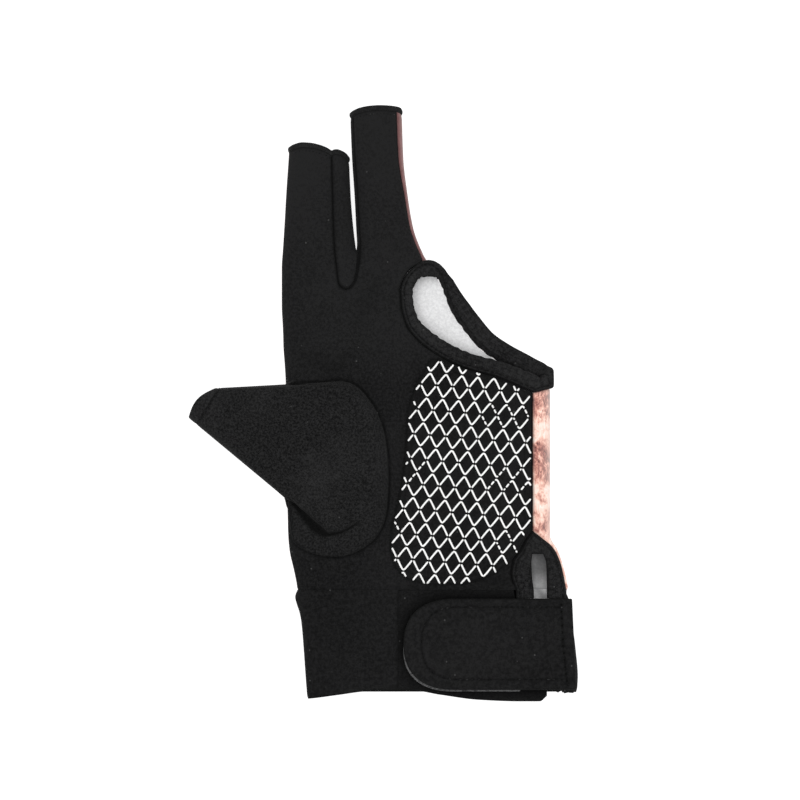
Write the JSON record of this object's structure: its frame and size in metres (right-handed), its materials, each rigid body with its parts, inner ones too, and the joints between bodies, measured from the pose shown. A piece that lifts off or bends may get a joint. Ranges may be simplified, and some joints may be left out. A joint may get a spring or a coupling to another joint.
{
  "type": "billiard glove",
  "caption": "Left-hand billiard glove with open finger tips, a set-in thumb, a bound opening for the other fingers, a grip pad on the palm and a strap at the wrist.",
  "frame": {"origin": "middle of the glove's bounding box, on the surface that it lies on", "axes": "palm up: +Z away from the palm, +Y from the cuff to the finger tips, +X from the thumb side to the little-finger side"},
  "size_m": [0.1404, 0.2148, 0.0138],
  "materials": {
    "palm_fabric": "smooth black stretch jersey with a faint sheen",
    "printed_fabric": "smooth stretch jersey printed on the outside in mottled peach and brown, plain white on its inside",
    "thumb_suede": "matt black brushed stretch fabric with a fine suede nap",
    "edge_knit": "black elastic knit binding, sewn with black thread",
    "grip_pad": "matt black pad with raised white silicone lines in a diamond lattice",
    "cuff_fabric": "matt black foam-backed jersey, stitched round its edge",
    "loop_pile": "brushed black loop pile",
    "hook_pile": "dark grey moulded hook tape"
  },
  "bodies": {
    "root": {"palm_panel": "palm_fabric", "back_panel": "printed_fabric", "finger_gusset": "palm_fabric", "thumb": "thumb_suede", "thumb_tip_band": "thumb_suede", "index_tip_band": "edge_knit", "middle_tip_band": "edge_knit", "grip_pad": "grip_pad", "finger_opening_binding": "edge_knit", "wrist_slit_binding": "edge_knit", "wrist_cuff": "cuff_fabric", "loop_panel": "loop_pile", "hook_patch": "hook_pile", "closure_strap": "cuff_fabric"}
  },
  "joints": []
}
